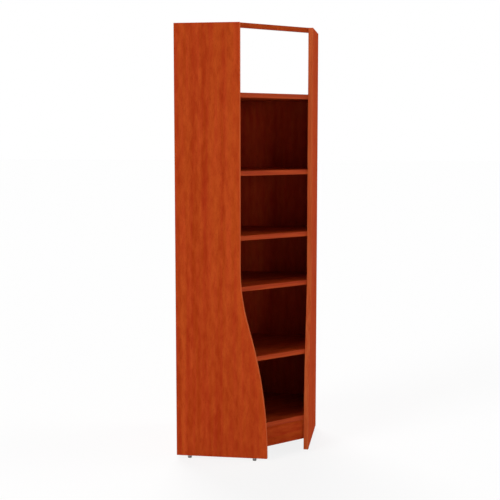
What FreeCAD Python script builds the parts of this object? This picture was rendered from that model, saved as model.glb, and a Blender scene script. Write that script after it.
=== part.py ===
import FreeCAD, Part
import math
import os

Vector = FreeCAD.Vector
UP = Vector(0, 0, 1)
INTO_ROOM = Vector(0, 1, 0)
FROM_LEFT_WALL = Vector(1, 0, 0)
FROM_RIGHT_WALL = Vector(0, -1, 0)
ALONG_FRONT = Vector(1, 1, 0).normalize()
TO_REAR = Vector(-1, 1, 0).normalize()

# Overall size in millimetres: two equal arms along the walls of a room corner
ARM = 600.0
HEIGHT = 2000.0

# Boards: sides and shelves are cut from the thick board, backs and rails from the thin one
BOARD = 22.0
BACK_BOARD = 18.0

# Front edge of a side panel: straight above, then a wave of two arcs down to a deeper foot
UPPER_DEPTH = 300.0
BASE_DEPTH = 426.0
WAVE_TOP = 900.0
WAVE_JOIN = 620.0

# Edge bands glued to the edges that show
BAND = 2.0
BAND_ROUND = 1.2

# Heights of the shelves' top faces, and the two rails
BASE_SHELF = 178.0
LOW_SHELF = 488.0
MIDDLE_SHELF = 810.0
UPPER_SHELF = 1044.0
HIGH_SHELF = 1339.0
NICHE_SHELF = 1691.0
SHELF_SETBACK = 1.0
PLINTH_BOTTOM = 65.0
RAIL_HEIGHT = 22.0

# Levelling feet: a pad on a threaded stud with a hexagon, in a sleeve in the board's lower edge
PAD_DIAMETER = 18.0
PAD_HEIGHT = 9.0
PAD_EDGE = 1.2
PAD_FLOOR = 3.0
HEXAGON_WIDTH = 10.0
HEXAGON_HEIGHT = 4.0
STUD_DIAMETER = 6.0
STUD_REACH = 30.0
SLEEVE_DIAMETER = 9.0
SLEEVE_LENGTH = 15.0
FOOT_INSET = 60.0

# Cam fittings: a cam in a pocket draws a bolt's head towards it
CAM_DIAMETER = 15.0
CAM_SET = 34.0
CAM_OVER = 4.8
CAM_SINK = 0.3
CAM_SOCKET = 4.0
CAM_SOCKET_DEPTH = 3.0
CAM_FROM_BACK = 60.0
CAM_FROM_FRONT = 60.0
CAP_DIAMETER = 17.0
CAP_THICKNESS = 1.2
CAP_PIN_DIAMETER = 3.6
CAP_PIN_LENGTH = 2.5
BOLT_THREAD_DIAMETER = 6.0
BOLT_THREAD_LENGTH = 11.0
BOLT_COLLAR_DIAMETER = 7.4
BOLT_COLLAR_LENGTH = 3.0
BOLT_SHANK_DIAMETER = 6.0
BOLT_NECK_DIAMETER = 4.0
BOLT_NECK_LENGTH = 6.0
BOLT_HEAD_DIAMETER = 7.0
BOLT_HEAD_LENGTH = 3.0

# Dowels and the long screws that hold the backs
DOWEL_DIAMETER = 8.0
DOWEL_LENGTH = 34.0
DOWEL_CHAMFER = 1.0
SCREW_LENGTH = 50.0
SCREW_HEAD_DIAMETER = 10.0
SCREW_HEAD_RIM = 1.0
SCREW_HEAD_CONE = 3.0
SCREW_SHANK_DIAMETER = 7.0
SCREW_THREAD_DIAMETER = 6.4
SCREW_TIP_DIAMETER = 3.0
SCREW_TIP_LENGTH = 4.0
SCREW_SINK = 0.3
SCREW_SOCKET = 4.0
SCREW_SOCKET_DEPTH = 3.0
SCREW_FROM_END = 100.0

# Bent brackets behind the top rail, corner blocks behind the plinth, and their small screws
BRACKET_LEAF = 36.0
BRACKET_PLATE = 2.0
BRACKET_HEIGHT = 16.0
BRACKET_HOLE_FROM_BEND = 12.0
BRACKET_HOLE_FROM_END = 8.0
BLOCK_SIZE = 20.0
BLOCK_LENGTH = 34.0
BLOCK_FROM_END = 30.0
BLOCK_HOLE_OFFSET = 8.0
SMALL_SCREW_DIAMETER = 3.5
SMALL_SCREW_BITE = 12.0
SMALL_HEAD_DIAMETER = 7.0
SMALL_HEAD_HEIGHT = 2.0

# Clearances: round a fitting in its bore, at the end of a bore, and round a foot's thread
BORE_CLEARANCE = 0.1
END_CLEARANCE = 0.5
THREAD_CLEARANCE = 0.2

# Places that follow from the sizes above; the origin is on the floor, under the middle of the box
WALL = ARM / 2
PANEL_FACE = WALL - BOARD
BACK_FACE = WALL - BACK_BOARD
BOARD_BOTTOM = PAD_HEIGHT + HEXAGON_HEIGHT
SHELF_TOPS = {
    "base_shelf": BASE_SHELF,
    "low_shelf": LOW_SHELF,
    "middle_shelf": MIDDLE_SHELF,
    "upper_shelf": UPPER_SHELF,
    "high_shelf": HIGH_SHELF,
    "niche_shelf": NICHE_SHELF,
}
HEIGHTS = list(SHELF_TOPS.values())
BAY_MIDDLES = [(low + high - BOARD) / 2 for low, high in zip(HEIGHTS, HEIGHTS[1:])]

# Wave: both arcs are upright at their outer ends, so they meet on the line between those ends
WAVE_FALL = (WAVE_TOP - WAVE_JOIN) / (WAVE_TOP - BOARD_BOTTOM)
JOIN_DEPTH = UPPER_DEPTH + (BASE_DEPTH - UPPER_DEPTH) * WAVE_FALL


def arc_radius(rise, height):
    """Radius of an arc that leaves the upright and moves by rise over height."""
    return (rise * rise + height * height) / (2 * rise)


UPPER_RADIUS = arc_radius(JOIN_DEPTH - UPPER_DEPTH, WAVE_TOP - WAVE_JOIN)
LOWER_RADIUS = arc_radius(BASE_DEPTH - JOIN_DEPTH, WAVE_JOIN - BOARD_BOTTOM)
WAVE_TURN = math.asin((WAVE_TOP - WAVE_JOIN) / UPPER_RADIUS)
BRACKET_BEND = math.pi / 4


def mirrored(shape):
    """The same shape on the other arm, reflected in the upright plane through the corner."""
    return shape.mirror(Vector(0, 0, 0), Vector(1, 1, 0))


def aimed(shape, start, direction):
    """Puts a shape made along +Z at start, with its axis along direction."""
    shape.Placement = FreeCAD.Placement(start, FreeCAD.Rotation(UP, direction))
    return shape


def turned(profile, start, direction):
    """Solid of revolution whose profile lists (distance, radius) pairs along an axis from start."""
    points = [Vector(radius, 0, distance) for distance, radius in profile]
    points.insert(0, Vector(0, 0, profile[0][0]))
    points.append(Vector(0, 0, profile[-1][0]))
    points.append(points[0])
    face = Part.Face(Part.makePolygon(points))
    return aimed(face.revolve(Vector(0, 0, 0), UP, 360), start, direction)


def rod(diameter, near, far, start, direction):
    """Plain cylinder from near to far along an axis from start."""
    return turned([(near, diameter / 2), (far, diameter / 2)], start, direction)


def hexagon(width, height, start, direction):
    """Hexagonal prism of a given width across its flats."""
    radius = width / math.sqrt(3)
    angles = [math.radians(60 * corner) for corner in range(7)]
    points = [Vector(radius * math.cos(angle), radius * math.sin(angle), 0) for angle in angles]
    return aimed(Part.Face(Part.makePolygon(points)).extrude(UP * height), start, direction)


def plate(outline, low, high):
    """Upright prism over a closed outline of (x, y) points."""
    points = [Vector(x, y, low) for x, y in outline]
    points.append(points[0])
    return Part.Face(Part.makePolygon(points)).extrude(UP * (high - low))


def depth_at(height):
    """Depth of a side panel from its wall to its front edge at a height."""
    if height >= WAVE_TOP:
        return UPPER_DEPTH
    if height >= WAVE_JOIN:
        return UPPER_DEPTH + UPPER_RADIUS - math.sqrt(UPPER_RADIUS**2 - (WAVE_TOP - height) ** 2)
    return BASE_DEPTH - LOWER_RADIUS + math.sqrt(LOWER_RADIUS**2 - (height - BOARD_BOTTOM) ** 2)


def left_panel_blank(inset, top):
    """Left side panel up to top, with its front edge moved back by inset along its normal."""

    def at(depth, height):
        return Vector(depth - WALL, -WALL, height)

    def on_upper(turn):
        radius = UPPER_RADIUS + inset
        return at(UPPER_DEPTH + UPPER_RADIUS - radius * math.cos(turn), WAVE_TOP - radius * math.sin(turn))

    def on_lower(turn):
        radius = LOWER_RADIUS - inset
        return at(BASE_DEPTH - LOWER_RADIUS + radius * math.cos(turn), BOARD_BOTTOM + radius * math.sin(turn))

    rear_bottom = at(0, BOARD_BOTTOM)
    front_bottom = on_lower(0)
    wave_join = on_lower(WAVE_TURN)
    wave_top = on_upper(0)
    front_top = at(UPPER_DEPTH - inset, top)
    rear_top = at(0, top)
    edges = [
        Part.LineSegment(rear_bottom, front_bottom),
        Part.Arc(front_bottom, on_lower(WAVE_TURN / 2), wave_join),
        Part.Arc(wave_join, on_upper(WAVE_TURN / 2), wave_top),
        Part.LineSegment(wave_top, front_top),
        Part.LineSegment(front_top, rear_top),
        Part.LineSegment(rear_top, rear_bottom),
    ]
    wire = Part.Wire([edge.toShape() for edge in edges])
    return Part.Face(wire).extrude(Vector(0, BOARD, 0))


def left_panel_band():
    """Band along the left panel's front edge, with its two long edges rounded."""
    blank = left_panel_blank(0, HEIGHT)
    long_edges = []
    for edge in blank.Edges:
        middle = edge.valueAt((edge.FirstParameter + edge.LastParameter) / 2)
        at_front = abs(middle.x + WALL - depth_at(middle.z)) < BAND / 2
        along = abs(edge.Vertexes[0].Y - edge.Vertexes[-1].Y) < BAND / 2
        if at_front and along and BOARD_BOTTOM < middle.z < HEIGHT:
            long_edges.append(edge)
    return blank.makeFillet(BAND_ROUND, long_edges).cut(left_panel_blank(BAND, HEIGHT))


def left_panel_top_band():
    """Flat band on the left panel's top edge, behind the front band."""
    return Part.makeBox(UPPER_DEPTH - BAND, BOARD, BAND, Vector(-WALL, -WALL, HEIGHT - BAND))


def front_line(depth):
    """The two ends of a straight front across the corner, between the panels' inner faces."""
    return (depth - WALL, -PANEL_FACE), (PANEL_FACE, WALL - depth)


def front_strip(depth, thickness, low, high):
    """Upright strip across the corner with mitred ends, whose front face is at depth."""
    left, right = front_line(depth)
    rear_left, rear_right = front_line(depth - thickness * math.sqrt(2))
    return plate([left, right, rear_right, rear_left], low, high)


def front_band(depth, low, high):
    """Band on a shelf's front edge, with its two long front edges rounded."""
    band = front_strip(depth, BAND, low, high)
    ahead = (depth - BOARD) / math.sqrt(2)
    long_edges = []
    for edge in band.Edges:
        middle = edge.CenterOfMass
        at_front = abs((middle.x - middle.y) / math.sqrt(2) - ahead) < BAND / 2
        level = abs(edge.Vertexes[0].Z - edge.Vertexes[1].Z) < BAND / 2
        along = abs(edge.Vertexes[0].X - edge.Vertexes[1].X) > BOARD
        if at_front and level and along:
            long_edges.append(edge)
    return band.makeFillet(BAND_ROUND, long_edges)


def front_placement(depth, height):
    """Frame on the middle of a front at depth: x runs along it to the right, y to the rear."""
    ahead = (depth - BOARD) / 2
    return FreeCAD.Placement(Vector(ahead, -ahead, height), FreeCAD.Rotation(UP, 45))


def shelf_depth(top):
    """Depth of a shelf's front, just behind the side panels' front edges."""
    return depth_at(top) - SHELF_SETBACK


def shelf_blank(top):
    """Five-sided shelf board between the backs and the side panels, behind its front band."""
    left, right = front_line(shelf_depth(top) - BAND * math.sqrt(2))
    outline = [left, right, (PANEL_FACE, BACK_FACE), (-BACK_FACE, BACK_FACE), (-BACK_FACE, -PANEL_FACE)]
    return plate(outline, top - BOARD, top)


def cam_bolt(joint, inward):
    """Turned bolt from its thread in the side panel to its head in the cam."""
    neck = CAM_SET - BOLT_HEAD_LENGTH - BOLT_NECK_LENGTH
    profile = [
        (-BOLT_THREAD_LENGTH, BOLT_THREAD_DIAMETER / 2),
        (0, BOLT_THREAD_DIAMETER / 2),
        (0, BOLT_COLLAR_DIAMETER / 2),
        (BOLT_COLLAR_LENGTH, BOLT_COLLAR_DIAMETER / 2),
        (BOLT_COLLAR_LENGTH, BOLT_SHANK_DIAMETER / 2),
        (neck, BOLT_SHANK_DIAMETER / 2),
        (neck, BOLT_NECK_DIAMETER / 2),
        (CAM_SET - BOLT_HEAD_LENGTH, BOLT_NECK_DIAMETER / 2),
        (CAM_SET - BOLT_HEAD_LENGTH, BOLT_HEAD_DIAMETER / 2),
        (CAM_SET, BOLT_HEAD_DIAMETER / 2),
    ]
    return turned(profile, joint, inward)


def bolt_bore_in_panel(joint, inward):
    """Blind bore in the side panel for a cam bolt's thread."""
    diameter = BOLT_THREAD_DIAMETER + 2 * BORE_CLEARANCE
    return rod(diameter, -BOLT_THREAD_LENGTH - END_CLEARANCE, 0, joint, inward)


def bolt_bore_in_board(joint, inward):
    """Bore in a board's edge for a cam bolt, as far as its cam."""
    diameter = max(BOLT_COLLAR_DIAMETER, BOLT_HEAD_DIAMETER) + 2 * BORE_CLEARANCE
    return rod(diameter, 0, CAM_SET, joint, inward)


def cam_face(joint, inward, into, board):
    """Middle of a cam pocket's mouth, on the face of the board that it is cut from."""
    return joint + inward * CAM_SET - into * (board / 2)


def cam_pocket(joint, inward, into, board):
    """Round pocket for a cam in the face of a board."""
    diameter = CAM_DIAMETER + 2 * BORE_CLEARANCE
    depth = board / 2 + CAM_OVER + BORE_CLEARANCE
    return rod(diameter, 0, depth, cam_face(joint, inward, into, board), into)


def cam_lock(joint, inward, into, board):
    """Round cam, open on the bolt's side, with a socket for the key in its face."""
    mouth = cam_face(joint, inward, into, board)
    cam = rod(CAM_DIAMETER, CAM_SINK, board / 2 + CAM_OVER, mouth, into)
    path = rod(BOLT_HEAD_DIAMETER + 2 * BORE_CLEARANCE, 0, CAM_SET + BORE_CLEARANCE, joint, inward)
    socket = hexagon(CAM_SOCKET, CAM_SINK + CAM_SOCKET_DEPTH, mouth, into)
    return cam.cut([path, socket])


def cam_cap(joint, inward, into, board):
    """Cover cap on a cam: a thin disc on the board's face, with a pin in the cam's socket."""
    profile = [
        (-CAP_THICKNESS, CAP_DIAMETER / 2 - CAP_THICKNESS / 2),
        (-CAP_THICKNESS / 2, CAP_DIAMETER / 2),
        (0, CAP_DIAMETER / 2),
        (0, CAP_PIN_DIAMETER / 2),
        (CAP_PIN_LENGTH, CAP_PIN_DIAMETER / 2),
    ]
    return turned(profile, cam_face(joint, inward, into, board), into)


def dowel(joint, inward):
    """Dowel with chamfered ends, half in each board."""
    half = DOWEL_LENGTH / 2
    radius = DOWEL_DIAMETER / 2
    profile = [
        (-half, radius - DOWEL_CHAMFER),
        (-half + DOWEL_CHAMFER, radius),
        (half - DOWEL_CHAMFER, radius),
        (half, radius - DOWEL_CHAMFER),
    ]
    return turned(profile, joint, inward)


def dowel_bore(joint, inward):
    """Bore for a dowel, in both boards at once."""
    half = DOWEL_LENGTH / 2 + END_CLEARANCE
    return rod(DOWEL_DIAMETER + 2 * BORE_CLEARANCE, -half, half, joint, inward)


def long_screw(start, inward):
    """Countersunk screw from the outside of a back board, with a socket in its head."""
    cone = SCREW_SINK + SCREW_HEAD_RIM
    neck = cone + SCREW_HEAD_CONE
    profile = [
        (SCREW_SINK, SCREW_HEAD_DIAMETER / 2),
        (cone, SCREW_HEAD_DIAMETER / 2),
        (neck, SCREW_SHANK_DIAMETER / 2),
        (BACK_BOARD, SCREW_SHANK_DIAMETER / 2),
        (BACK_BOARD, SCREW_THREAD_DIAMETER / 2),
        (SCREW_LENGTH - SCREW_TIP_LENGTH, SCREW_THREAD_DIAMETER / 2),
        (SCREW_LENGTH, SCREW_TIP_DIAMETER / 2),
    ]
    socket = hexagon(SCREW_SOCKET, SCREW_SINK + SCREW_SOCKET_DEPTH, start, inward)
    return turned(profile, start, inward).cut(socket)


def long_screw_bore(start, inward):
    """Stepped bore for a long screw, through a back board and into the board behind it."""
    cone = SCREW_SINK + SCREW_HEAD_RIM
    neck = cone + SCREW_HEAD_CONE
    profile = [
        (0, SCREW_HEAD_DIAMETER / 2 + BORE_CLEARANCE),
        (cone, SCREW_HEAD_DIAMETER / 2 + BORE_CLEARANCE),
        (neck, SCREW_SHANK_DIAMETER / 2 + BORE_CLEARANCE),
        (BACK_BOARD, SCREW_SHANK_DIAMETER / 2 + BORE_CLEARANCE),
        (BACK_BOARD, SCREW_THREAD_DIAMETER / 2 + BORE_CLEARANCE),
        (SCREW_LENGTH + END_CLEARANCE, SCREW_THREAD_DIAMETER / 2 + BORE_CLEARANCE),
    ]
    return turned(profile, start, inward)


def small_screw(seat, inward, plate_thickness):
    """Pan-head screw whose head lies on a plate at seat."""
    profile = [
        (-SMALL_HEAD_HEIGHT, SMALL_HEAD_DIAMETER / 2 - SMALL_HEAD_HEIGHT / 2),
        (-SMALL_HEAD_HEIGHT / 2, SMALL_HEAD_DIAMETER / 2),
        (0, SMALL_HEAD_DIAMETER / 2),
        (0, SMALL_SCREW_DIAMETER / 2),
        (plate_thickness + SMALL_SCREW_BITE, SMALL_SCREW_DIAMETER / 2),
    ]
    return turned(profile, seat, inward)


def small_screw_bore(seat, inward, plate_thickness):
    """Bore for a small screw, through its plate and into the board behind it."""
    depth = plate_thickness + SMALL_SCREW_BITE + END_CLEARANCE
    return rod(SMALL_SCREW_DIAMETER + 2 * BORE_CLEARANCE, 0, depth, seat, inward)


def shelf_joints(top):
    """Places on the left panel's inner face where one shelf's cam bolts and dowel cross it."""
    middle = top - BOARD / 2
    rear = BACK_BOARD + CAM_FROM_BACK
    front = shelf_depth(top) - CAM_FROM_FRONT
    bolts = [Vector(depth - WALL, -PANEL_FACE, middle) for depth in (rear, front)]
    return bolts, Vector((rear + front) / 2 - WALL, -PANEL_FACE, middle)


def back_joints():
    """Places on the left panel's inner face where the left back's cam bolts cross it."""
    return [Vector(BACK_BOARD / 2 - WALL, -PANEL_FACE, height) for height in BAY_MIDDLES]


def left_back_screws(top):
    """Places on the left wall side where the screws into one shelf start."""
    ends = (SCREW_FROM_END - PANEL_FACE, BACK_FACE - SCREW_FROM_END)
    return [Vector(-WALL, across, top - BOARD / 2) for across in ends]


def corner_screws():
    """Places on the right wall side where the screws into the left back's edge start."""
    return [Vector(BACK_BOARD / 2 - WALL, WALL, height) for height in BAY_MIDDLES]


def foot_places():
    """Middles of the left arm's feet, on the floor: front and rear of the panel, and the back."""
    panel_line = BOARD / 2 - WALL
    return {
        "left_front": Vector(BASE_DEPTH - FOOT_INSET - WALL, panel_line, 0),
        "left_rear": Vector(FOOT_INSET - WALL, panel_line, 0),
        "back_left": Vector(BACK_BOARD / 2 - WALL, WALL - FOOT_INSET, 0),
    }


def foot_pad(place):
    """Moulded pad with a blind bore for the stud's lower end."""
    radius = PAD_DIAMETER / 2
    profile = [
        (0, radius - PAD_EDGE),
        (PAD_EDGE, radius),
        (PAD_HEIGHT - PAD_EDGE, radius),
        (PAD_HEIGHT, radius - PAD_EDGE),
    ]
    bore = rod(STUD_DIAMETER + 2 * BORE_CLEARANCE, PAD_FLOOR, PAD_HEIGHT, place, UP)
    return turned(profile, place, UP).cut(bore)


def foot_stud(place):
    """Stud from the pad's bore into the sleeve, with a hexagon between pad and board."""
    shaft = rod(STUD_DIAMETER, PAD_FLOOR, BOARD_BOTTOM + STUD_REACH, place, UP)
    return shaft.fuse(hexagon(HEXAGON_WIDTH, HEXAGON_HEIGHT, place + UP * PAD_HEIGHT, UP)).removeSplitter()


def foot_sleeve(place):
    """Threaded sleeve let into the lower edge of a board."""
    outer = rod(SLEEVE_DIAMETER, BOARD_BOTTOM, BOARD_BOTTOM + SLEEVE_LENGTH, place, UP)
    return outer.cut(rod(STUD_DIAMETER + 2 * THREAD_CLEARANCE, 0, HEIGHT, place, UP))


def foot_bore(place):
    """Stepped bore in a board's lower edge for a sleeve and the stud's reach."""
    sleeve = SLEEVE_DIAMETER / 2 + BORE_CLEARANCE
    stud = STUD_DIAMETER / 2 + THREAD_CLEARANCE
    profile = [
        (BOARD_BOTTOM, sleeve),
        (BOARD_BOTTOM + SLEEVE_LENGTH, sleeve),
        (BOARD_BOTTOM + SLEEVE_LENGTH, stud),
        (BOARD_BOTTOM + STUD_REACH + END_CLEARANCE, stud),
    ]
    return turned(profile, place, UP)


def rail_bracket_corner():
    """Where the top rail's rear face meets the left panel's inner face, at the bracket's foot."""
    rear = shelf_depth(HEIGHT) - BACK_BOARD * math.sqrt(2)
    return Vector(rear - WALL, -PANEL_FACE, HEIGHT - RAIL_HEIGHT / 2 - BRACKET_HEIGHT / 2)


def rail_bracket_screws():
    """Seats and directions of one bracket's screws: two in the panel and two in the rail."""
    middle = rail_bracket_corner() + UP * (BRACKET_HEIGHT / 2)
    seats = []
    for reach in (BRACKET_HOLE_FROM_BEND, BRACKET_LEAF - BRACKET_HOLE_FROM_END):
        seats.append((middle + Vector(-reach, BRACKET_PLATE, 0), INTO_ROOM * -1))
        seats.append((middle + ALONG_FRONT * reach + TO_REAR * BRACKET_PLATE, TO_REAR * -1))
    return seats


def rail_bracket():
    """Bent plate behind the left end of the top rail, one leaf on the panel and one on the rail."""
    corner = rail_bracket_corner()
    bend = Vector(-BRACKET_PLATE * math.tan(BRACKET_BEND / 2), BRACKET_PLATE, 0)
    points = [
        corner + Vector(-BRACKET_LEAF, 0, 0),
        corner,
        corner + ALONG_FRONT * BRACKET_LEAF,
        corner + ALONG_FRONT * BRACKET_LEAF + TO_REAR * BRACKET_PLATE,
        corner + bend,
        corner + Vector(-BRACKET_LEAF, BRACKET_PLATE, 0),
    ]
    blank = plate([(point.x, point.y) for point in points], corner.z, corner.z + BRACKET_HEIGHT)
    bores = [small_screw_bore(seat, inward, BRACKET_PLATE) for seat, inward in rail_bracket_screws()]
    return blank.cut(bores)


def plinth_block_end():
    """Place of the left block's outer end along the plinth, from the middle of its rear face."""
    half_front = (ARM - BOARD - shelf_depth(BASE_SHELF)) / math.sqrt(2)
    return BLOCK_FROM_END - half_front - BACK_BOARD


def plinth_block_screws():
    """Seats and directions of the left block's screws: one up into the shelf, one into the plinth."""
    placement = front_placement(shelf_depth(BASE_SHELF), BASE_SHELF - BOARD)
    middle = plinth_block_end() + BLOCK_LENGTH / 2
    shelf_seat = Vector(middle + BLOCK_HOLE_OFFSET, BACK_BOARD + BLOCK_SIZE / 2, -BLOCK_SIZE)
    plinth_seat = Vector(middle - BLOCK_HOLE_OFFSET, BACK_BOARD + BLOCK_SIZE, -BLOCK_SIZE / 2)
    return [
        (placement.multVec(shelf_seat), UP),
        (placement.multVec(plinth_seat), TO_REAR * -1),
    ]


def plinth_block():
    """Left corner block, in the angle between the base shelf and the plinth rail."""
    start = Vector(plinth_block_end(), BACK_BOARD, -BLOCK_SIZE)
    block = Part.makeBox(BLOCK_LENGTH, BLOCK_SIZE, BLOCK_SIZE, start)
    block.Placement = front_placement(shelf_depth(BASE_SHELF), BASE_SHELF - BOARD)
    return block.cut([small_screw_bore(seat, inward, BLOCK_SIZE) for seat, inward in plinth_block_screws()])


def both(shapes):
    """Shapes of the left arm together with their mirror images."""
    return shapes + [mirrored(shape) for shape in shapes]


nodes = {}
panel_bores = []
left_back_bores = []
cam_locks = []
cam_bolts = []
cam_caps = []
dowels = []
back_screws = []

bracket_screws = rail_bracket_screws()
block_screws = plinth_block_screws()

# Shelves, each with its band, cams and dowels towards both panels and its screws from both backs
for name, top in SHELF_TOPS.items():
    bolts, pin = shelf_joints(top)
    starts = left_back_screws(top)
    bores = [dowel_bore(pin, INTO_ROOM)]
    panel_bores.append(dowel_bore(pin, INTO_ROOM))
    dowels.append(dowel(pin, INTO_ROOM))
    for joint in bolts:
        bores.append(bolt_bore_in_board(joint, INTO_ROOM))
        bores.append(cam_pocket(joint, INTO_ROOM, UP, BOARD))
        panel_bores.append(bolt_bore_in_panel(joint, INTO_ROOM))
        cam_locks.append(cam_lock(joint, INTO_ROOM, UP, BOARD))
        cam_bolts.append(cam_bolt(joint, INTO_ROOM))
        cam_caps.append(cam_cap(joint, INTO_ROOM, UP, BOARD))
    for start in starts:
        bores.append(long_screw_bore(start, FROM_LEFT_WALL))
        left_back_bores.append(long_screw_bore(start, FROM_LEFT_WALL))
        back_screws.append(long_screw(start, FROM_LEFT_WALL))
    if name == "base_shelf":
        bores.append(small_screw_bore(*block_screws[0], BLOCK_SIZE))
    nodes[name] = shelf_blank(top).cut(both(bores))
    nodes[name + "_band"] = front_band(shelf_depth(top), top - BOARD, top)

nodes["shelf_cam_locks"] = Part.makeCompound(both(cam_locks))
nodes["shelf_cam_bolts"] = Part.makeCompound(both(cam_bolts))
nodes["shelf_cam_caps"] = Part.makeCompound(both(cam_caps))
nodes["shelf_dowels"] = Part.makeCompound(both(dowels))
nodes["shelf_back_screws"] = Part.makeCompound(both(back_screws))

# Joints between the backs and the side panels
back_cam_locks = []
back_cam_bolts = []
for joint in back_joints():
    left_back_bores.append(bolt_bore_in_board(joint, INTO_ROOM))
    left_back_bores.append(cam_pocket(joint, INTO_ROOM, FROM_LEFT_WALL, BACK_BOARD))
    panel_bores.append(bolt_bore_in_panel(joint, INTO_ROOM))
    back_cam_locks.append(cam_lock(joint, INTO_ROOM, FROM_LEFT_WALL, BACK_BOARD))
    back_cam_bolts.append(cam_bolt(joint, INTO_ROOM))
nodes["back_cam_locks"] = Part.makeCompound(both(back_cam_locks))
nodes["back_cam_bolts"] = Part.makeCompound(both(back_cam_bolts))

# Levelling feet: pad and stud of each foot, and the sleeves that stay in the boards
sleeves = []
for name, place in foot_places().items():
    other = name.replace("left", "right")
    nodes["foot_pad_" + name] = foot_pad(place)
    nodes["foot_pad_" + other] = mirrored(foot_pad(place))
    nodes["foot_stud_" + name] = foot_stud(place)
    nodes["foot_stud_" + other] = mirrored(foot_stud(place))
    sleeves.append(foot_sleeve(place))
    if name == "back_left":
        left_back_bores.append(foot_bore(place))
    else:
        panel_bores.append(foot_bore(place))
nodes["foot_sleeves"] = Part.makeCompound(both(sleeves))

# Side panels, alike but handed
panel_bores += [small_screw_bore(*screw, BRACKET_PLATE) for screw in bracket_screws]
left_panel = left_panel_blank(BAND, HEIGHT - BAND).cut(panel_bores)
nodes["side_panel_left"] = left_panel
nodes["side_panel_right"] = mirrored(left_panel)
nodes["side_band_left"] = left_panel_band()
nodes["side_band_right"] = mirrored(left_panel_band())
nodes["top_band_left"] = left_panel_top_band()
nodes["top_band_right"] = mirrored(left_panel_top_band())

# Backs: the right one runs into the corner, and the left one butts against it
corner_bores = [long_screw_bore(start, FROM_RIGHT_WALL) for start in corner_screws()]
left_outline = [(-WALL, -PANEL_FACE), (-BACK_FACE, -PANEL_FACE), (-BACK_FACE, BACK_FACE), (-WALL, BACK_FACE)]
right_outline = [(-WALL, BACK_FACE), (PANEL_FACE, BACK_FACE), (PANEL_FACE, WALL), (-WALL, WALL)]
left_back = plate(left_outline, BOARD_BOTTOM, NICHE_SHELF - BAND)
right_back = plate(right_outline, BOARD_BOTTOM, NICHE_SHELF - BAND)
right_back_bores = [mirrored(bore) for bore in left_back_bores]
nodes["back_panel_left"] = left_back.cut(left_back_bores + corner_bores)
nodes["back_panel_right"] = right_back.cut(right_back_bores + corner_bores)
nodes["back_band_left"] = plate(left_outline, NICHE_SHELF - BAND, NICHE_SHELF)
nodes["back_band_right"] = plate(right_outline, NICHE_SHELF - BAND, NICHE_SHELF)
nodes["corner_screws"] = Part.makeCompound([long_screw(start, FROM_RIGHT_WALL) for start in corner_screws()])

# Top rail with its brackets, and plinth rail with its blocks
rail_bores = both([small_screw_bore(*screw, BRACKET_PLATE) for screw in bracket_screws])
rail_depth = shelf_depth(HEIGHT)
rail_bottom = HEIGHT - RAIL_HEIGHT
rail = front_strip(rail_depth, BACK_BOARD, rail_bottom + BAND, HEIGHT - BAND)
rail_bands = [front_strip(rail_depth, BACK_BOARD, low, low + BAND) for low in (rail_bottom, HEIGHT - BAND)]
nodes["top_rail"] = rail.cut(rail_bores)
nodes["top_rail_bands"] = Part.makeCompound(rail_bands)
nodes["rail_brackets"] = Part.makeCompound(both([rail_bracket()]))
rail_screws = [small_screw(*screw, BRACKET_PLATE) for screw in bracket_screws]
nodes["rail_bracket_screws"] = Part.makeCompound(both(rail_screws))
plinth_depth = shelf_depth(BASE_SHELF)
plinth = front_strip(plinth_depth, BACK_BOARD, PLINTH_BOTTOM + BAND, BASE_SHELF - BOARD)
nodes["plinth_rail"] = plinth.cut(both([small_screw_bore(*block_screws[1], BLOCK_SIZE)]))
nodes["plinth_band"] = front_strip(plinth_depth, BACK_BOARD, PLINTH_BOTTOM, PLINTH_BOTTOM + BAND)
nodes["plinth_blocks"] = Part.makeCompound(both([plinth_block()]))
plinth_screws = [small_screw(*screw, BLOCK_SIZE) for screw in block_screws]
nodes["plinth_block_screws"] = Part.makeCompound(both(plinth_screws))

os.makedirs("parts", exist_ok=True)
for name, shape in nodes.items():
    shape.exportStep(os.path.join("parts", name + ".step"))
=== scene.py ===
import math

import bpy
import numpy as np
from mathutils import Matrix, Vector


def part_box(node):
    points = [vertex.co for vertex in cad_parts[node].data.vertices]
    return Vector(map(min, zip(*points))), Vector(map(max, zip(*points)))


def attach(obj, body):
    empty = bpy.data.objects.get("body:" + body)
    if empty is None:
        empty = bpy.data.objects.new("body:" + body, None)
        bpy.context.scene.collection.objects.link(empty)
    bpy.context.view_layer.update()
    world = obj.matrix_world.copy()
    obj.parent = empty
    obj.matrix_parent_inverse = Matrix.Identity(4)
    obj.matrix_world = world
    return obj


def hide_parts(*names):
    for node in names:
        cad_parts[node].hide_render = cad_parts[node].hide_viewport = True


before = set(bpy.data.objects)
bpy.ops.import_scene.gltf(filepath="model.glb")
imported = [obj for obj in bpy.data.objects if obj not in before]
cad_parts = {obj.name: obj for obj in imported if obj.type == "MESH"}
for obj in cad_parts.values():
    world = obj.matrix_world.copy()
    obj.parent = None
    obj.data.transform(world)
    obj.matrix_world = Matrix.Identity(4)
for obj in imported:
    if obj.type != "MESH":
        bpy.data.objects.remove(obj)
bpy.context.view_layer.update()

# Real sizes are written in millimetres, and the scene is in metres
MM = 0.001

# Camera: a long lens a little right of the near panel, at about eye height
CAMERA_PLACE = (0.7331, -4.9416, 1.4968)
CAMERA_AZIMUTH = 8.417
CAMERA_ELEVATION = 6.244
CAMERA_LENS = 75.01
SENSOR_WIDTH = 36.0

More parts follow.
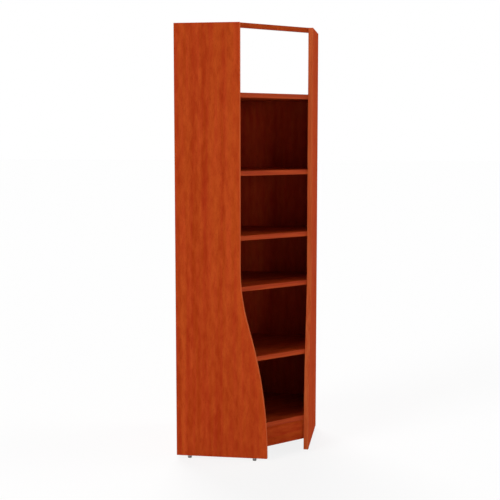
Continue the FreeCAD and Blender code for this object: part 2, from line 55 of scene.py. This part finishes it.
# Light: broad lamps from the left, the right and behind, a weak one from the front, and an even light.
# A lamp of full level lights a face that it meets squarely so that a colour shows as it is written.
FULL_LEVEL = math.pi
LAMPS = {
    "lamp_left": {"azimuth": -40.0, "elevation": 15.0, "level": 0.80, "spread": 30.0},
    "lamp_front": {"azimuth": 40.0, "elevation": 5.0, "level": 0.085, "spread": 12.0},
    "lamp_right": {"azimuth": 104.0, "elevation": 8.0, "level": 0.68, "spread": 35.0},
    "lamp_behind": {"azimuth": 200.0, "elevation": 38.0, "level": 0.74, "spread": 40.0},
}
ALL_ROUND_LEVEL = 0.16
WHITE = "#ffffff"

# Floor: a white sheet that runs out of sight, a little darker for the light that it throws back
FLOOR_HALF_WIDTH = 60.0
FLOOR_COLOUR = WHITE
FLOOR_BOUNCE_COLOUR = "#dddcda"
FLOOR_SHADOW_SHARE = 0.15

# Grain directions, as the turn that takes the upright to the grain
UPRIGHT = (0.0, 0.0, 0.0)
ALONG_FRONT = (0.0, math.pi / 2, math.pi / 4)

# Noise: where most of its values lie, where nearly all of them lie, and its peaks
MOST_NOISE = (0.35, 0.65)
NEARLY_ALL_NOISE = (0.30, 0.70)
NOISE_PEAKS = (0.60, 0.72)

# Board prints: a dark and a pale brown, and a dark and a pale red; the backs' is redder and plainer, which
# paints in the red light that bounces about the shaded inside
CHERRY_PRINT = ("#9b330e", "#b2481a", "#9e2f11", "#b5451c")
BACK_PRINT_SHADE_TINTED = ("#9d2f11", "#b0401c", "#9f2b13", "#b33d1e")
PRINT_TONES = (0.34, 0.66)
PRINT_GLOSS = 0.01
PRINT_ROUGHNESS = (0.76, 0.86)
PRINT_RELIEF = 0.04
PORE_COLOUR = "#6a1a04"
PORE_SHARE = 0.30

# Patterns of the print in millimetres, across the grain both ways and along it
PRINT_BANDS = (26.0, 26.0, 1500.0)
PRINT_FLAMES = (18.0, 18.0, 60.0)
PRINT_FLECKS = (3.0, 3.0, 60.0)
PRINT_BLUSH = (16.0, 16.0, 420.0)
PRINT_PORES = (0.9, 0.9, 11.0)
PRESS_PLATE = (1.6, 1.6, 4.0)

# Where the print's bands start, so that they lie as they do on the near panel in the photograph
BAND_START = (-0.316, -3.461, 0.0)

# Raw chipboard on faces that look down, between these heights of the face's normal
DOWNWARD = (-0.8, -0.9)
CHIP_FLAKES = (3.0, 3.0, 1.2)
CHIP_GAPS = (1.4, 1.4, 0.8)
CHIP_DARK = "#8a6238"
CHIP_PALE = "#c9a36f"
CHIP_GLUE = "#4a3220"
CHIP_GLUE_SHARE = 0.7

# Edge bands: lines and streaks in millimetres, across the grain both ways and along it
BAND_LINES = (2.5, 2.5, 90.0)
BAND_STREAKS = (14.0, 14.0, 300.0)
BAND_TONES = (0.36, 0.64)
BAND_GLOSS = 0.06
BAND_ROUGHNESS = (0.55, 0.65)
BAND_RELIEF = 0.03

# Moulded plastic and bare metal: how far the roughness strays, and the size of the broad mottle
PLASTIC_STRAY = 0.08
PLASTIC_FLOW = (9.0, 9.0, 9.0)
PLASTIC_RELIEF = 0.03
METAL_STRAY = 0.1
METAL_CLOUD_TIMES = 6.0

# Beech: ray flecks and growth rings in millimetres, longest along y, as the near panel's dowels lie
BEECH_RAYS = (0.7, 2.5, 0.7)
BEECH_RINGS = (2.0, 12.0, 2.0)
BEECH_DARK = "#c99f72"
BEECH_PALE = "#dfbd93"
BEECH_RAY = "#8d6238"
BEECH_RAY_PEAKS = (0.58, 0.70)
BEECH_RAY_SHARE = 0.6
BEECH_ROUGHNESS = (0.55, 0.70)
BEECH_RELIEF = 0.05

# Levelling stud: an M6 thread, and a hexagon for the spanner between the pad and the board
STUD_DIAMETER = 6.0 * MM
STUD_PITCH = 1.0 * MM
STUD_THREAD_DEPTH = 0.55 * MM
STUD_CHAMFER = 0.8 * MM
HEXAGON_WIDTH = 10.0 * MM
HEXAGON_HEIGHT = 4.0 * MM
STUD_IN_PAD = 6.0 * MM
CHAMFER_SLOPE = math.tan(math.radians(60.0))

# Small pan-head screw with a cross recess and a coarse wood thread
HEAD_DIAMETER = 7.0 * MM
HEAD_HEIGHT = 2.0 * MM
HEAD_EDGE_HEIGHT = 1.2 * MM
CROSS_REACH = 2.1 * MM
CROSS_DEPTH = 1.3 * MM
CROSS_HALF_WIDTH = 0.45 * MM
CROSS_WALL = 0.25 * MM
SHANK_DIAMETER = 3.5 * MM
SHANK_PITCH = 1.4 * MM
SHANK_THREAD_DEPTH = 0.5 * MM
SHANK_BITE = 12.0 * MM
SHANK_POINT = 4.0 * MM
SHANK_TIP_SHARE = 0.1

# Where the small screws sit: on the bent brackets behind the top rail and the blocks behind the plinth
BRACKET_LEAF = 36.0 * MM
BRACKET_PLATE = 2.0 * MM
BRACKET_HOLES = (12.0 * MM, 28.0 * MM)
BLOCK_LENGTH = 34.0 * MM
BLOCK_HOLE_OFFSET = 8.0 * MM

# How finely turned pieces are drawn: columns round them, rows along them and along one turn of a thread
COLUMNS = 48
ROWS_PER_TURN = 8
HEXAGON_ROWS = 13
HEAD_ROWS = 28
HEAD_MIDDLE_SHARE = 0.05

# Share of a thread's pitch that is flat at the root
ROOT_FLAT = 0.2

# Directions of the unit: up, along the front from the near panel to the far one, and to the corner
UP = np.array([0.0, 0.0, 1.0])
TO_FAR_PANEL = np.array([1.0, 1.0, 0.0]) / math.sqrt(2)
TO_CORNER = np.array([-1.0, 1.0, 0.0]) / math.sqrt(2)
INTO_NEAR_PANEL = np.array([0.0, -1.0, 0.0])


def linear(colour):
    """Linear red, green, blue and alpha of an sRGB hex colour."""
    channels = np.array([int(colour[place:place + 2], 16) for place in (1, 3, 5)]) / 255
    curved = ((channels + 0.055) / 1.055) ** 2.4
    return (*np.where(channels <= 0.04045, channels / 12.92, curved), 1.0)


def add(tree, kind, inputs, **settings):
    """Adds a node with its settings, and sets each input or links it where the value is a socket."""
    node = tree.nodes.new(kind)
    for name, value in settings.items():
        setattr(node, name, value)
    for name, value in inputs.items():
        if isinstance(value, bpy.types.NodeSocket):
            tree.links.new(value, node.inputs[name])
        else:
            node.inputs[name].default_value = value
    return node


def new_finish(name, **constants):
    """A new finish: its material, its node tree and its surface shader with the constants set."""
    material = bpy.data.materials.new(name)
    material.use_nodes = True
    tree = material.node_tree
    shader = tree.nodes["Principled BSDF"]
    for socket, value in constants.items():
        shader.inputs[socket.replace("_", " ")].default_value = value
    return material, tree, shader


def speckle(tree, size, turn=UPRIGHT, detail=2.0, distortion=0.0, start=(0.0, 0.0, 0.0)):
    """Noise from 0 to 1 whose features have a size in millimetres along each of three axes.

    The axes are turned as the grain is, and start is where the pattern begins, in metres.
    """
    place = add(tree, "ShaderNodeTexCoord", {})
    axes = add(tree, "ShaderNodeMapping", {
        "Vector": place.outputs["Object"],
        "Location": start,
        "Rotation": turn,
        "Scale": [side * MM for side in size],
    }, vector_type="TEXTURE")
    noise = add(tree, "ShaderNodeTexNoise", {
        "Vector": axes.outputs["Vector"],
        "Scale": 1.0,
        "Detail": detail,
        "Distortion": distortion,
    })
    return noise.outputs["Fac"]


def layered(tree, *layers):
    """Sum of patterns, each times its weight."""
    total = 0.0
    for pattern, weight in layers:
        step = add(tree, "ShaderNodeMath", {0: pattern, 1: weight, 2: total}, operation="MULTIPLY_ADD")
        total = step.outputs["Value"]
    return total


def tinted(tree, pattern, reach, first, second, share=1.0):
    """A colour that goes from the first to a share of the second as a pattern passes through a reach.

    The mix's sockets are given by number, because several of them have the same name.
    """
    amount = add(tree, "ShaderNodeMapRange", {
        "Value": pattern,
        "From Min": reach[0],
        "From Max": reach[1],
        "To Min": 0.0,
        "To Max": share,
    })
    mix = add(tree, "ShaderNodeMix", {0: amount.outputs["Result"], 6: first, 7: second}, data_type="RGBA")
    return mix.outputs[2]


def dress(tree, shader, colour, pattern, roughness, height, depth):
    """Gives a shader its colour, a roughness that follows a pattern, and fine relief.

    The roughness goes from its first to its second value with nearly all of the pattern. A height from
    0 to 1 stands for a depth in millimetres.
    """
    sheen = add(tree, "ShaderNodeMapRange", {
        "Value": pattern,
        "From Min": NEARLY_ALL_NOISE[0],
        "From Max": NEARLY_ALL_NOISE[1],
        "To Min": roughness[0],
        "To Max": roughness[1],
    })
    bump = add(tree, "ShaderNodeBump", {"Height": height, "Distance": depth * MM})
    tree.links.new(colour, shader.inputs["Base Color"])
    tree.links.new(sheen.outputs["Result"], shader.inputs["Roughness"])
    tree.links.new(bump.outputs["Normal"], shader.inputs["Normal"])


def chipboard_colour(tree):
    """Raw chipboard edge: pale flakes about 3 mm long, laid flat, with brown glue and gaps between."""
    flakes = speckle(tree, CHIP_FLAKES, detail=3.0, distortion=1.0)
    gaps = speckle(tree, CHIP_GAPS, detail=1.0)
    wood = tinted(tree, flakes, MOST_NOISE, linear(CHIP_DARK), linear(CHIP_PALE))
    return tinted(tree, gaps, NOISE_PEAKS, wood, linear(CHIP_GLUE), CHIP_GLUE_SHARE)


def melamine(name, turn, print_colours, raw_lower_edge):
    """Melamine-faced chipboard: printed cherry paper pressed under a satin plate.

    The eye gets soft bands and flecks of red along the grain, short pressed-in pores, and a low,
    even sheen. The pores are about 0.3 mm wide on the real print and are drawn three times as wide.
    With a raw lower edge, faces that look down show the chipboard.
    """
    material, tree, shader = new_finish(name, Specular_IOR_Level=PRINT_GLOSS)
    dark_brown, pale_brown, dark_red, pale_red = map(linear, print_colours)
    bands = speckle(tree, PRINT_BANDS, turn, detail=0.0, start=BAND_START)
    flames = speckle(tree, PRINT_FLAMES, turn, detail=1.0, distortion=0.15)
    flecks = speckle(tree, PRINT_FLECKS, turn)
    pores = speckle(tree, PRINT_PORES, turn, detail=0.0)
    blush = speckle(tree, PRINT_BLUSH, turn, detail=1.0)
    plate = speckle(tree, PRESS_PLATE, turn)
    tone = layered(tree, (bands, 0.38), (flames, 0.44), (flecks, 0.18))
    brown = tinted(tree, tone, PRINT_TONES, dark_brown, pale_brown)
    red = tinted(tree, tone, PRINT_TONES, dark_red, pale_red)
    colour = tinted(tree, blush, MOST_NOISE, brown, red)
    colour = tinted(tree, pores, NOISE_PEAKS, colour, linear(PORE_COLOUR), PORE_SHARE)
    if raw_lower_edge:
        place = add(tree, "ShaderNodeTexCoord", {})
        normal = add(tree, "ShaderNodeSeparateXYZ", {"Vector": place.outputs["Normal"]})
        colour = tinted(tree, normal.outputs["Z"], DOWNWARD, colour, chipboard_colour(tree))
    dents = add(tree, "ShaderNodeMapRange", {
        "Value": pores,
        "From Min": NOISE_PEAKS[0],
        "From Max": NOISE_PEAKS[1],
    })
    height = layered(tree, (plate, 0.5), (dents.outputs["Result"], -0.5))
    dress(tree, shader, colour, flecks, PRINT_ROUGHNESS, height, PRINT_RELIEF)
    return material


def edge_band(name, turn, dark, pale):
    """ABS edge band: extruded, printed and rolled on, then trimmed round.

    The eye gets a strip of the two tones it is given, a little glossier than the board, with lines along it.
    """
    material, tree, shader = new_finish(name, Specular_IOR_Level=BAND_GLOSS)
    lines = speckle(tree, BAND_LINES, turn)
    streaks = speckle(tree, BAND_STREAKS, turn, detail=1.0)
    tone = layered(tree, (lines, 0.45), (streaks, 0.55))
    colour = tinted(tree, tone, BAND_TONES, linear(dark), linear(pale))
    dress(tree, shader, colour, lines, BAND_ROUGHNESS, lines, BAND_RELIEF)
    return material


def moulded_plastic(name, dark, pale, grit, roughness):
    """Injection-moulded plastic: a fine spark-eroded grain from the mould, dull and even.

    The eye gets a faint mottle and a soft, broken highlight. The real grain is about 0.1 mm and is
    drawn at the given size, in millimetres, so that it shows.
    """
    material, tree, shader = new_finish(name)
    grain = speckle(tree, (grit, grit, grit), detail=3.0)
    flow = speckle(tree, PLASTIC_FLOW, detail=1.0)
    tone = layered(tree, (grain, 0.4), (flow, 0.6))
    colour = tinted(tree, tone, MOST_NOISE, linear(dark), linear(pale))
    strayed = (roughness - PLASTIC_STRAY, roughness + PLASTIC_STRAY)
    dress(tree, shader, colour, grain, strayed, grain, PLASTIC_RELIEF)
    return material


def bare_metal(name, dark, pale, mottle, roughness, depth):
    """Metal fitting as it comes from the die, the lathe or the plating bath.

    The eye gets a grey or yellow gleam broken up by a mottle of the given size in millimetres, with
    pale, dull patches and darker, smoother ones. The relief's depth is in millimetres too.
    """
    material, tree, shader = new_finish(name, Metallic=1.0)
    cloud_size = METAL_CLOUD_TIMES * mottle
    skin = speckle(tree, (mottle, mottle, mottle), detail=3.0)
    cloud = speckle(tree, (cloud_size, cloud_size, cloud_size), detail=1.0)
    tone = layered(tree, (skin, 0.5), (cloud, 0.5))
    colour = tinted(tree, tone, MOST_NOISE, linear(dark), linear(pale))
    strayed = (roughness - METAL_STRAY, roughness + METAL_STRAY)
    dress(tree, shader, colour, tone, strayed, skin, depth)
    return material


def beech(name):
    """Raw beech dowel: rolled and cut, with short darker ray flecks on a pale tan ground."""
    material, tree, shader = new_finish(name)
    rays = speckle(tree, BEECH_RAYS, detail=1.0)
    rings = speckle(tree, BEECH_RINGS, detail=1.0)
    ground = tinted(tree, rings, MOST_NOISE, linear(BEECH_DARK), linear(BEECH_PALE))
    colour = tinted(tree, rays, BEECH_RAY_PEAKS, ground, linear(BEECH_RAY), BEECH_RAY_SHARE)
    dress(tree, shader, colour, rays, BEECH_ROUGHNESS, rays, BEECH_RELIEF)
    return material


def put_on(material, *starts):
    """Puts a finish on every CAD node whose name starts with one of the given words."""
    for name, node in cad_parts.items():
        if name.startswith(starts):
            node.material_slots[0].material = material


def angles():
    """Angles of the columns round a turned piece."""
    return np.arange(COLUMNS) * (2 * math.pi / COLUMNS)


def turned_points(radius, height, start, axis):
    """Points at a radius round an axis and a height along it, both given by row and column.

    The columns go round the axis anticlockwise, seen from where the axis points.
    """
    side = UP if abs(axis[2]) < 0.5 else np.array([1.0, 0.0, 0.0])
    across = np.cross(axis, side)
    round_about = np.cos(angles())[:, None] * side + np.sin(angles())[:, None] * across
    return start + radius[..., None] * round_about + height[..., None] * axis


def turned_piece(name, grids):
    """One piece from several closed tubes of quads, each a grid of rows along it and columns round it.

    Each tube's first and last row is closed by a flat face.
    """
    count, rows, columns = np.shape(grids)[:3]
    number = np.arange(count * rows * columns).reshape(count, rows, columns)
    beside = np.roll(number, -1, axis=2)
    corners = [number[:, :-1], beside[:, :-1], beside[:, 1:], number[:, 1:]]
    sides = np.stack(corners, axis=-1).reshape(-1, 4)
    ends = np.concatenate([number[:, 0, ::-1], number[:, -1]])
    mesh = bpy.data.meshes.new(name)
    mesh.from_pydata(np.reshape(grids, (-1, 3)), [], sides.tolist() + ends.tolist())
    mesh.update()
    piece = bpy.data.objects.new(name, mesh)
    bpy.context.collection.objects.link(piece)
    return piece


def thread(height, pitch, depth):
    """How far a thread lies below its crest: a wave that climbs one pitch in each turn.

    It falls in a straight line on both sides of the crest, to a flat root.
    """
    turn = (height / pitch - angles() / (2 * math.pi)) % 1.0
    from_crest = 0.5 - np.abs(turn - 0.5)
    return depth * np.minimum(from_crest / (0.5 - ROOT_FLAT / 2), 1.0)


def stud_points(low, high):
    """Levelling stud in the box from low to high, as a radius for each height and angle.

    The plain end in the pad is a cylinder. The hexagon's radius is half its width over the cosine of
    the angle from the nearest flat, cut by a cone at each end. Above it the radius is the thread's crest
    less the thread, cut by a cone at the tip. The hexagon's corners point along the box's longer side.
    """
    length = high[2] - low[2]
    neck = STUD_IN_PAD + HEXAGON_HEIGHT
    thread_rows = round((length - neck) / STUD_PITCH * ROWS_PER_TURN)
    plain = np.array([0.0, STUD_IN_PAD])
    spanner = np.linspace(STUD_IN_PAD, neck, HEXAGON_ROWS)
    threaded = np.linspace(neck, length, thread_rows + 1)
    height = np.concatenate([plain, spanner, threaded])[:, None]
    part = np.repeat([0, 1, 2], [len(plain), len(spanner), len(threaded)])[:, None]
    corner_angle = 0.0 if high[0] - low[0] > high[1] - low[1] else math.pi / 2
    from_flat = (angles() - corner_angle) % (math.pi / 3) - math.pi / 6
    end_cone = HEXAGON_WIDTH / 2 + CHAMFER_SLOPE * np.minimum(height - STUD_IN_PAD, neck - height)
    hexagon = np.minimum(HEXAGON_WIDTH / 2 / np.cos(from_flat), end_cone)
    tip_cone = STUD_DIAMETER / 2 - STUD_CHAMFER + (length - height)
    screw = np.minimum(STUD_DIAMETER / 2 - thread(height, STUD_PITCH, STUD_THREAD_DEPTH), tip_cone)
    radius = np.select([part == 0, part == 1], [STUD_DIAMETER / 2, hexagon], screw)
    foot = np.array([(low[0] + high[0]) / 2, (low[1] + high[1]) / 2, low[2]])
    return turned_points(radius, np.broadcast_to(height, radius.shape), foot, UP)


def small_screw_points(seat, inward, grip):
    """Pan-head screw whose head lies on a seat, through a plate of thickness grip.

    The head's height falls from its middle with the cube of the radius. The cross is cut into it: four
    arms whose depth falls to nothing at their ends and at their sloping walls. The shank's radius is
    the thread's crest less the thread, and runs out to a point.
    """
    head_radius = np.linspace(HEAD_MIDDLE_SHARE, 1.0, HEAD_ROWS)[:, None] * HEAD_DIAMETER / 2
    dome = HEAD_HEIGHT - (HEAD_HEIGHT - HEAD_EDGE_HEIGHT) * (2 * head_radius / HEAD_DIAMETER) ** 3
    from_arm = (angles() + math.pi / 4) % (math.pi / 2) - math.pi / 4
    beside_arm = head_radius * np.abs(np.sin(from_arm))
    in_reach = np.clip(2 - 2 * head_radius / CROSS_REACH, 0.0, 1.0)
    in_arm = np.clip((CROSS_HALF_WIDTH + CROSS_WALL - beside_arm) / CROSS_WALL, 0.0, 1.0)
    top = CROSS_DEPTH * in_reach * in_arm - dome
    length = grip + SHANK_BITE
    along = np.linspace(0.0, length, round(length / SHANK_PITCH * ROWS_PER_TURN))[:, None]
    crest = SHANK_DIAMETER / 2 * np.clip((length - along) / SHANK_POINT, SHANK_TIP_SHARE, 1.0)
    root = crest - thread(along, SHANK_PITCH, SHANK_THREAD_DEPTH)
    shank = np.maximum(root, SHANK_TIP_SHARE * crest)
    rim = np.full((1, COLUMNS), HEAD_DIAMETER / 2)
    radius = np.concatenate([np.broadcast_to(head_radius, top.shape), rim, shank])
    height = np.concatenate([top, 0.0 * rim, np.broadcast_to(along, shank.shape)])
    return turned_points(radius, height, seat, inward)


def on_both_arms(places):
    """Seats and directions on the near arm, with the same on the far one, mirrored in the corner's plane."""
    swap = np.array([[0.0, -1.0, 0.0], [-1.0, 0.0, 0.0], [0.0, 0.0, 1.0]])
    return places + [(swap @ seat, swap @ inward) for seat, inward in places]


def bracket_screw_places():
    """Two screws in the near panel and two in the top rail, by their distance from the bracket's bend."""
    low, high = map(np.array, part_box("rail_brackets"))
    bend = np.array([low[0] + BRACKET_LEAF, low[1], (low[2] + high[2]) / 2])
    rail_face = bend + TO_CORNER * BRACKET_PLATE
    in_panel = [(bend - [reach, -BRACKET_PLATE, 0.0], INTO_NEAR_PANEL) for reach in BRACKET_HOLES]
    in_rail = [(rail_face + TO_FAR_PANEL * reach, -TO_CORNER) for reach in BRACKET_HOLES]
    return in_panel + in_rail


def block_screw_places():
    """One screw up into the base shelf and one into the plinth, and the thickness of the block.

    They lie on opposite sides of the block's middle, along the front.
    """
    low, high = map(np.array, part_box("plinth_blocks"))
    size = high[2] - low[2]
    half_across = (BLOCK_LENGTH + size) / 2 / math.sqrt(2)
    middle = np.array([low[0] + half_across, low[1] + half_across, (low[2] + high[2]) / 2])
    below = middle + TO_FAR_PANEL * BLOCK_HOLE_OFFSET - UP * size / 2
    behind = middle - TO_FAR_PANEL * BLOCK_HOLE_OFFSET + TO_CORNER * size / 2
    return [(below, UP), (behind, -TO_CORNER)], size


def fit(piece, node, body, material):
    """Puts a piece in the place of a CAD node, on its body and with its finish."""
    piece.data.materials.append(material)
    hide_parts(node)
    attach(piece, body)


def facing(azimuth, elevation):
    """Turn of a lamp or camera that looks at the object from an azimuth and an elevation in degrees."""
    return math.pi / 2 - math.radians(elevation), 0.0, math.radians(azimuth)


def seen_directly(tree):
    """1 for a ray from the camera, a mirror or glass, and 0 for light that only bounces."""
    path = add(tree, "ShaderNodeLightPath", {})
    mirrored = add(tree, "ShaderNodeMath", {
        0: path.outputs["Is Camera Ray"],
        1: path.outputs["Is Glossy Ray"],
    }, operation="MAXIMUM")
    either = add(tree, "ShaderNodeMath", {
        0: mirrored.outputs["Value"],
        1: path.outputs["Is Transmission Ray"],
    }, operation="MAXIMUM")
    return either.outputs["Value"]


def stage_light():
    """Sun lamps to the left, in front, to the right and behind, and the even light from all round.

    Seen by the camera, in a mirror or through glass, the surroundings are plain white.
    """
    for name, lamp in LAMPS.items():
        light = bpy.data.lights.new(name, "SUN")
        light.energy = FULL_LEVEL * lamp["level"]
        light.angle = math.radians(lamp["spread"])
        holder = bpy.data.objects.new(name, light)
        holder.rotation_euler = facing(lamp["azimuth"], lamp["elevation"])
        bpy.context.collection.objects.link(holder)
    world = bpy.data.worlds.new("white_studio")
    world.use_nodes = True
    bpy.context.scene.world = world
    tree = world.node_tree
    even = tree.nodes["Background"]
    even.inputs["Color"].default_value = linear(WHITE)
    even.inputs["Strength"].default_value = ALL_ROUND_LEVEL
    white = add(tree, "ShaderNodeBackground", {"Color": linear(WHITE), "Strength": 1.0})
    shown = add(tree, "ShaderNodeMixShader", {
        0: seen_directly(tree),
        1: even.outputs["Background"],
        2: white.outputs["Background"],
    })
    tree.links.new(shown.outputs["Shader"], tree.nodes["World Output"].inputs["Surface"])


def stage_floor():
    """Matt sheet under the feet. Seen directly it is mostly plain white and keeps a faint shadow."""
    half = FLOOR_HALF_WIDTH
    corners = [(-half, -half, 0), (half, -half, 0), (half, half, 0), (-half, half, 0)]
    mesh = bpy.data.meshes.new("floor")
    mesh.from_pydata(corners, [], [(0, 1, 2, 3)])
    floor = bpy.data.objects.new("floor", mesh)
    bpy.context.collection.objects.link(floor)
    material = bpy.data.materials.new("matt_paper_sheet")
    material.use_nodes = True
    tree = material.node_tree
    tree.nodes.remove(tree.nodes["Principled BSDF"])
    paper = add(tree, "ShaderNodeBsdfDiffuse", {"Color": linear(FLOOR_COLOUR)})
    bounce = add(tree, "ShaderNodeBsdfDiffuse", {"Color": linear(FLOOR_BOUNCE_COLOUR)})
    white = add(tree, "ShaderNodeEmission", {"Color": linear(WHITE), "Strength": 1.0})
    shaded = add(tree, "ShaderNodeMixShader", {
        0: FLOOR_SHADOW_SHARE,
        1: white.outputs["Emission"],
        2: paper.outputs["BSDF"],
    })
    shown = add(tree, "ShaderNodeMixShader", {
        0: seen_directly(tree),
        1: bounce.outputs["BSDF"],
        2: shaded.outputs["Shader"],
    })
    tree.links.new(shown.outputs["Shader"], tree.nodes["Material Output"].inputs["Surface"])
    mesh.materials.append(material)


def stage_camera():
    """Camera at the photograph's viewing angle, for a square picture."""
    lens = bpy.data.cameras.new("camera")
    lens.lens = CAMERA_LENS
    lens.sensor_width = SENSOR_WIDTH
    camera = bpy.data.objects.new("camera", lens)
    camera.location = CAMERA_PLACE
    camera.rotation_euler = facing(CAMERA_AZIMUTH, CAMERA_ELEVATION)
    bpy.context.collection.objects.link(camera)
    bpy.context.scene.camera = camera


# Boards. A shelf's name also starts its band's name, so the bands are given their own finish afterwards.
shelves = [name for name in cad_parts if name.endswith("_shelf")]
print_upright = melamine("cherry_melamine_upright", UPRIGHT, CHERRY_PRINT, raw_lower_edge=True)
# The backs' print is tinted redder and plainer as painted shade: the red bounced light of the shaded inside
print_back_shade_tinted = melamine("cherry_melamine_back_shade_tinted", UPRIGHT, BACK_PRINT_SHADE_TINTED, raw_lower_edge=True)
print_across = melamine("cherry_melamine_along_front", ALONG_FRONT, CHERRY_PRINT, raw_lower_edge=False)
put_on(print_upright, "side_panel")
put_on(print_back_shade_tinted, "back_panel")
put_on(print_across, *shelves, "top_rail", "plinth_rail")

# Edge bands: upright ones are paler and more orange than the boards, which paints a highlight along the front
# edges; the others are about as dark
shelf_bands = [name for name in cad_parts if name.endswith("_shelf_band")]
# The upright band's pale tones carry a painted highlight of the lit front edges
band_upright_painted_highlight = edge_band("abs_edge_band_upright", UPRIGHT, dark="#ac421a", pale="#bf592c")
band_across = edge_band("abs_edge_band_along_front", ALONG_FRONT, dark="#9a3010", pale="#b4461b")
put_on(band_upright_painted_highlight, "side_band")
put_on(band_across, *shelf_bands, "top_band", "back_band", "top_rail_bands", "plinth_band")

# Plastic, metal and wooden fittings
cap_plastic = moulded_plastic("moulded_polypropylene_cap", "#7c2506", "#8f3210", grit=0.5, roughness=0.45)
block_plastic = moulded_plastic("moulded_nylon_block", "#4a2110", "#5c2d18", grit=0.6, roughness=0.50)
pad_plastic = moulded_plastic("moulded_polypropylene_pad", "#666361", "#787573", grit=0.6, roughness=0.55)
cast_zinc = bare_metal("die_cast_zinc", "#8d8f92", "#b4b6b9", mottle=1.2, roughness=0.48, depth=0.05)
plated_steel = bare_metal("zinc_plated_steel", "#a9adb3", "#cfd2d6", mottle=0.8, roughness=0.34, depth=0.02)
turned_brass = bare_metal("turned_brass", "#b08a43", "#d3b06a", mottle=0.7, roughness=0.32, depth=0.02)
put_on(cap_plastic, "shelf_cam_caps")
put_on(block_plastic, "plinth_blocks")
put_on(pad_plastic, "foot_pad")
put_on(cast_zinc, "shelf_cam_locks", "back_cam_locks")
put_on(plated_steel, "shelf_cam_bolts", "back_cam_bolts", "shelf_back_screws", "corner_screws")
put_on(plated_steel, "rail_bracket", "plinth_block_screws", "foot_stud")
put_on(turned_brass, "foot_sleeves")
put_on(beech("rolled_beech_dowel"), "shelf_dowels")

# Threaded studs of the feet
for node in [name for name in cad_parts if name.startswith("foot_stud_")]:
    stud = turned_piece(node.replace("foot_stud", "threaded_stud"), [stud_points(*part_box(node))])
    fit(stud, node, node.replace("foot_stud", "foot"), plated_steel)

# Small screws of the brackets and the blocks
bracket_screws = turned_piece("cross_head_bracket_screws", [
    small_screw_points(seat, inward, BRACKET_PLATE) for seat, inward in on_both_arms(bracket_screw_places())])
fit(bracket_screws, "rail_bracket_screws", "unit", plated_steel)
block_places, block_size = block_screw_places()
block_screws = turned_piece("cross_head_block_screws", [
    small_screw_points(seat, inward, block_size) for seat, inward in on_both_arms(block_places)])
fit(block_screws, "plinth_block_screws", "unit", plated_steel)

# Stage
stage_light()
stage_floor()
stage_camera()
bpy.context.scene.view_settings.view_transform = "Standard"
